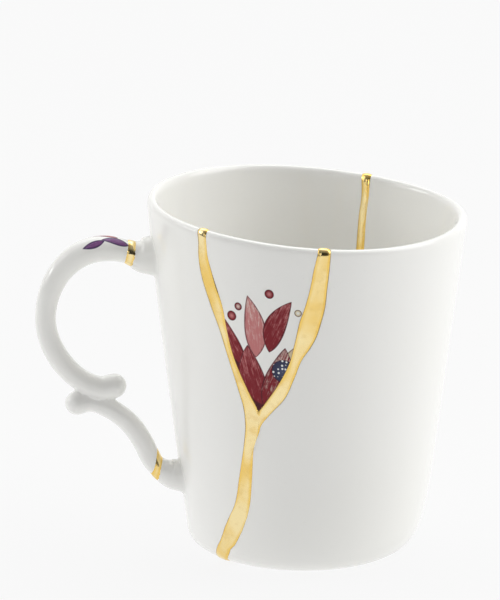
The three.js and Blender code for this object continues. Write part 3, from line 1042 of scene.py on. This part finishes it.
def foot_mask(tree, coordinates):
    """1 on the foot ring, which stands on the table and has no glaze."""
    split = tree.nodes.new("ShaderNodeSeparateXYZ")
    tree.links.new(coordinates.outputs["Object"], split.inputs[0])
    return ramp(tree, split.outputs["Z"], 0.02 * MM, 0.12 * MM, 1.0, 0.0)


def porcelain_finish(material, tree, shader, coordinates, paint=None):
    glaze = place_group(tree, GLAZE, Place=coordinates.outputs["Object"], Body=BODY, Tint=TINT,
                        Bare=foot_mask(tree, coordinates))
    color = glaze.outputs["Color"]
    if paint:
        color, painted_on = paint(tree, color)
        # The print shines less than the bare glaze
        sheen = ramp(tree, painted_on, 0, 1, 0.5, 0.2)
        tree.links.new(sheen, shader.inputs["Specular IOR Level"])
    tree.links.new(color, shader.inputs["Base Color"])
    tree.links.new(glaze.outputs["Roughness"], shader.inputs["Roughness"])
    tree.links.new(bump(tree, glaze.outputs["Height"], 0.12 * MM), shader.inputs["Normal"])
    shader.inputs["IOR"].default_value = 1.52
    return material


def porcelain_material():
    return porcelain_finish(*new_material("white glazed porcelain"))


def painted_leaf(tree, ground, deep, light, outline, wash, **values):
    """Lays one leaf over what is already painted."""
    leaf = place_group(tree, LEAF, **values)
    tone = math(tree, "ADD", math(tree, "MULTIPLY", leaf.outputs["Along"], 0.35), wash)
    tone = math(tree, "ADD", tone, math(tree, "MULTIPLY", leaf.outputs["Strokes"], 1.5))
    color = blend(tree, ramp(tree, tone, 1.22, 1.75), deep, light)
    color = blend(tree, math(tree, "MULTIPLY", leaf.outputs["Veins"], 0.55), color, deep)
    color = blend(tree, math(tree, "MULTIPLY", leaf.outputs["Outline"], 0.85), color, outline)
    return blend(tree, leaf.outputs["Shape"], ground, color), leaf.outputs["Shape"]


def paint_leaves(tree, ground, leaves, wash, flat):
    color, painted_on = ground, 0.0
    for foot, angle, length, width, bend, deep, light, outline in leaves:
        color, shape = painted_leaf(tree, color, deep, light, outline, wash, Place=flat, Foot=foot,
                                    Angle=radians(angle), Length=length, Width=width, Bend=bend)
        painted_on = math(tree, "MAXIMUM", painted_on, shape)
    return color, painted_on


def painted_berry(tree, ground, deep, light, **values):
    berry = place_group(tree, BERRY, **values)
    color = blend(tree, berry.outputs["Shine"], deep, light)
    color = blend(tree, berry.outputs["Outline"], color, MAROON)
    return blend(tree, berry.outputs["Shape"], ground, color), berry.outputs["Shape"]


def white_dots(tree, color, shape, flat):
    cells = tree.nodes.new("ShaderNodeTexVoronoi")
    cells.inputs["Scale"].default_value = 0.85
    cells.inputs["Randomness"].default_value = 0.35
    tree.links.new(flat, cells.inputs["Vector"])
    dots = ramp(tree, cells.outputs["Distance"], 0.2, 0.32, 1.0, 0.0)
    return blend(tree, math(tree, "MULTIPLY", dots, shape), color, WHITE)


# The sprig on the front shard: the foot of each leaf in mm from PRINT_MIDDLE and the table, its
# angle in degrees, its length, width and bend in mm, and its colours
SPRIG_LEAVES = [
    ((-4.5, 66, 0), 118, 19, 6.4, 1.2, CRIMSON, PINK, MAROON),
    ((-1.5, 70, 0), 96, 18.5, 6.6, -1.0, PINK, ROSE, MAROON),
    ((2.5, 72, 0), 66, 17.5, 6.2, 1.4, CRIMSON, PINK, MAROON),
    ((5.5, 68, 0), 42, 15, 5.6, -1.2, BEIGE, ROSE, MAROON),
    ((-3.2, 61, 0), 128, 13, 5.4, 1.4, MAROON, CRIMSON, MAROON),
    ((-0.6, 49, 0), 92, 15, 9, 0, MAROON, CRIMSON, MAROON),
    ((0.2, 55.5, 0), 103, 18.5, 8.2, 1.4, CRIMSON, PINK, MAROON),
    ((0.4, 55, 0), 70, 20, 8.6, -1.6, CRIMSON, ROSE, MAROON),
]
# The middle of each berry, its radius and colours, and whether it has white dots
SPRIG_BERRIES = [
    ((6.6, 66.5, 0), 3.6, BLUE_BLACK, NIGHT_BLUE, True),
    ((-8.6, 81.5, 0), 1.5, CRIMSON, PINK, False),
    ((-6.4, 84.6, 0), 1.2, CRIMSON, ROSE, False),
    ((11.3, 84.6, 0), 1.1, BEIGE, WHITE, False),
    ((3.2, 89.6, 0), 1.4, CRIMSON, PINK, False),
]


def printed_material():
    material, tree, shader, coordinates = new_material("porcelain with a painted sprig")
    flat = coordinates.outputs["UV"]
    wash = math(tree, "MULTIPLY", noise(tree, flat, 0.55, 4, 0.65), 0.75)

    def paint(tree, ground):
        color, painted_on = paint_leaves(tree, ground, SPRIG_LEAVES, wash, flat)
        for middle, radius, deep, light, dotted in SPRIG_BERRIES:
            color, shape = painted_berry(tree, color, deep, light, Place=flat, Middle=middle,
                                         Radius=radius)
            painted_on = math(tree, "MAXIMUM", painted_on, shape)
            if dotted:
                color = white_dots(tree, color, shape, flat)
        return color, painted_on

    return porcelain_finish(material, tree, shader, coordinates, paint)


# The leaves on the handle, beside the upper ring: mm round the bar and along it
HANDLE_LEAVES = [
    ((-2.6, 1.0, 0), 84, 7.5, 2.4, -0.3, MAUVE, LILAC, BLUE_BLACK),
    ((-0.6, 4.0, 0), 78, 7.5, 2.2, -0.4, PINK, LILAC, BLUE_BLACK),
    ((-2.2, 7.6, 0), 98, 6.0, 2.0, 0.3, MAUVE, LILAC, BLUE_BLACK),
]
PAST_THE_LEAVES = 400            # the lower scroll's UV starts this far along, so it has none


def handle_material():
    material, tree, shader, coordinates = new_material("porcelain with small mauve leaves")
    flat = coordinates.outputs["UV"]
    wash = math(tree, "MULTIPLY", noise(tree, flat, 0.9, 3, 0.6), 0.75)

    def paint(tree, ground):
        return paint_leaves(tree, ground, HANDLE_LEAVES, wash, flat)

    return porcelain_finish(material, tree, shader, coordinates, paint)


def gold_material():
    material, tree, shader, coordinates = new_material("brushed-on gold")
    spot = coordinates.outputs["Object"]
    attribute = tree.nodes.new("ShaderNodeAttribute")
    attribute.attribute_name = "from_edge"
    from_edge = attribute.outputs["Fac"]
    worn = noise(tree, spot, 260, 4, 0.6)
    cloud = noise(tree, spot, 70, 3)
    # Paler gold towards the flat top and deeper gold at the edges: a painted highlight, laid over the
    # gold's own uneven tone from the cloud
    crest = ramp(tree, from_edge, 0.3, 1.3, -0.14, 0.06)
    pale = ramp(tree, math(tree, "ADD", cloud, crest), 0.32, 0.68)
    color = blend(tree, pale, RICH_GOLD, PALE_GOLD)
    color = blend(tree, ramp(tree, worn, 0.5, 0.75, 0, 0.3), color, WORN_GOLD)
    # A dark line along the gold's edge: partly lacquer showing where the gold thins, partly painted
    # shade of the crack beside the gold
    wavering = math(tree, "ADD", from_edge, math(tree, "MULTIPLY", worn, 0.12))
    lacquer_and_edge_shade = ramp(tree, wavering, 0.1, 0.36, 1.0, 0.0)
    color = blend(tree, math(tree, "MULTIPLY", lacquer_and_edge_shade, 0.85), color, DARK_LACQUER_AND_EDGE_SHADE)
    tree.links.new(color, shader.inputs["Base Color"])
    tree.links.new(ramp(tree, worn, 0.35, 0.75, 0.13, 0.27), shader.inputs["Roughness"])
    shader.inputs["Metallic"].default_value = 1
    strokes = noise(tree, spot, 420, 3, 0.55, (1.0, 1.0, 0.22))
    swell = noise(tree, spot, 120, 1)
    rough = bump(tree, strokes, 0.02 * MM, 0.6)
    tree.links.new(bump(tree, swell, 0.16 * MM, 1.0, rough), shader.inputs["Normal"])
    return material


# Camera: where the photo was taken from, and how far from the picture's middle the cup's lies
AZIMUTH = radians(-10)
ELEVATION = radians(18.12)
DISTANCE = 1.0
LOOK_AT = Vector((0, 0, 0.052))
FOCAL_PIXELS = 3358
PICTURE_HEIGHT = 600
ASIDE_PIXELS = 55.5
BELOW_PIXELS = 74.0

# Studio
TABLE_WHITE = 0.06
TABLE_GLOW = 0.885
FRONT_LIGHT = 0.03               # of the tent, low down on its open side
SIDE_LIGHT = 0.9                 # low down elsewhere
TOP_FRONT_LIGHT = 0.35           # and overhead
TOP_BACK_LIGHT = 3.1
DARKEST = radians(246)           # direction of the tent's open side
# Bright gaps in the tent, as (direction, half its width, lowest and highest sine, strength)
GAPS = [
    (radians(253.4), radians(0.9), 0.04, 0.5, 9),
    (radians(239.8), radians(0.5), 0.04, 0.5, 7),
    (radians(163), radians(15), 0.3, 0.42, 6),
    (radians(224), radians(22), 0.02, 0.6, 0.6),
]
GAP_SOFTNESS = 0.15              # share of a gap's height over which it fades at top and bottom
# Name, place and power of each softbox, and the width and height of both
SOFTBOXES = [("right softbox", (1.2, -0.25, 0.85), 8.4), ("left softbox", (-1.25, 0.1, 0.8), 3.6)]
SOFTBOX_SIZE = (0.9, 1.1)


def studio():
    scene = bpy.context.scene
    bm = bmesh.new()
    bmesh.ops.create_grid(bm, x_segments=1, y_segments=1, size=4)
    mesh = bpy.data.meshes.new("table")
    bm.to_mesh(mesh)
    bm.free()
    table = bpy.data.objects.new("table", mesh)
    scene.collection.objects.link(table)
    material, _, shader, _ = new_material("pale table")
    shader.inputs["Base Color"].default_value = rgb(TABLE_WHITE, TABLE_WHITE, TABLE_WHITE)
    shader.inputs["Roughness"].default_value = 0.9
    shader.inputs["Specular IOR Level"].default_value = 0.0
    shader.inputs["Emission Color"].default_value = rgb(1, 1, 1)
    shader.inputs["Emission Strength"].default_value = TABLE_GLOW
    mesh.materials.append(material)
    surround(scene)
    for name, location, power in SOFTBOXES:
        softbox(name, location, power)
    scene.view_settings.view_transform = "Standard"


def surround(scene):
    """A white tent, open and darker on the camera's side."""
    world = bpy.data.worlds.new("tent")
    scene.world = world
    world.use_nodes = True
    tree = world.node_tree
    background = tree.nodes["Background"]
    coordinates = tree.nodes.new("ShaderNodeTexCoord")
    split = tree.nodes.new("ShaderNodeSeparateXYZ")
    tree.links.new(coordinates.outputs["Generated"], split.inputs[0])
    turned = math(tree, "ADD", math(tree, "MULTIPLY", split.outputs["Y"], -sin(DARKEST)),
                  math(tree, "MULTIPLY", split.outputs["X"], -cos(DARKEST)))
    level = ramp(tree, turned, -0.75, 0.25, FRONT_LIGHT, SIDE_LIGHT)
    overhead = ramp(tree, turned, -0.15, 0.65, TOP_FRONT_LIGHT, TOP_BACK_LIGHT)
    above = ramp(tree, split.outputs["Z"], 0.45, 0.95)
    level = math(tree, "ADD", math(tree, "MULTIPLY", level, math(tree, "SUBTRACT", 1.0, above)),
                 math(tree, "MULTIPLY", overhead, above))
    direction = math(tree, "ARCTAN2", split.outputs["Y"], split.outputs["X"])
    direction = math(tree, "MODULO", math(tree, "ADD", direction, 2 * pi), 2 * pi)
    for toward, half, low, high, strength in GAPS:
        aside = math(tree, "ABSOLUTE", math(tree, "SUBTRACT", direction, toward))
        soft = GAP_SOFTNESS * (high - low)
        gap = math(tree, "MULTIPLY", ramp(tree, aside, 0.7 * half, half, 1.0, 0.0),
                   math(tree, "MULTIPLY", ramp(tree, split.outputs["Z"], low, low + soft),
                        ramp(tree, split.outputs["Z"], high - soft, high, 1.0, 0.0)))
        level = math(tree, "ADD", level, math(tree, "MULTIPLY", gap, strength))
    background.inputs["Color"].default_value = rgb(1, 1, 1)
    tree.links.new(level, background.inputs["Strength"])


def softbox(name, location, power):
    light = bpy.data.lights.new(name, "AREA")
    light.shape = "RECTANGLE"
    light.size, light.size_y = SOFTBOX_SIZE
    light.energy = power
    lamp = bpy.data.objects.new(name, light)
    bpy.context.scene.collection.objects.link(lamp)
    lamp.location = location
    lamp.rotation_mode = "QUATERNION"
    lamp.rotation_quaternion = (LOOK_AT - Vector(location)).to_track_quat("-Z", "Y")


def camera():
    data = bpy.data.cameras.new("camera")
    data.sensor_width = 36
    data.lens = FOCAL_PIXELS / PICTURE_HEIGHT * data.sensor_width
    eye = bpy.data.objects.new("camera", data)
    bpy.context.scene.collection.objects.link(eye)
    bpy.context.scene.camera = eye
    back = Vector((sin(AZIMUTH) * cos(ELEVATION), -cos(AZIMUTH) * cos(ELEVATION), sin(ELEVATION)))
    eye.location = LOOK_AT + DISTANCE * back
    straight = (-back).to_track_quat("-Z", "Y").to_matrix()
    yaw = Matrix.Rotation(ASIDE_PIXELS / FOCAL_PIXELS, 3, "Y")
    pitch = Matrix.Rotation(BELOW_PIXELS / FOCAL_PIXELS, 3, "X")
    eye.rotation_mode = "QUATERNION"
    eye.rotation_quaternion = (straight @ pitch @ yaw).to_quaternion()


def build_mug():
    porcelain = porcelain_material()
    gold = gold_material()
    shard(*half_cup(HANDLE_SIDE_COLUMNS, far_other, left_one, -1, False),
          "handle_side_of_the_cup", porcelain, "porcelain", "shard_handle_side")
    shard(*half_cup(FAR_SIDE_COLUMNS, lambda height: right_other(height) - 2 * pi, far_one, 1, True),
          "far_side_of_the_cup", porcelain, "porcelain", "shard_far_side")
    shard(*printed_grid(PRINTED_COLUMNS),
          "printed_shard", printed_material(), "printed_porcelain", "shard_printed")
    handle(handle_material())
    handle_roots(porcelain)
    gold_seam(gold)
    ring_of_gold(UPPER_LINE, UPPER_RING, lambda turn: 1 + 0.05 * np.sin(3 * turn),
                 "upper_ring_of_gold", gold, "gold_ring_upper")
    ring_of_gold(LOWER_LINE, LOWER_RING, lambda turn: 1 + 0.1 * np.sin(2 * turn + 1),
                 "lower_ring_of_gold", gold, "gold_ring_lower")


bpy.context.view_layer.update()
build_mug()
studio()
camera()
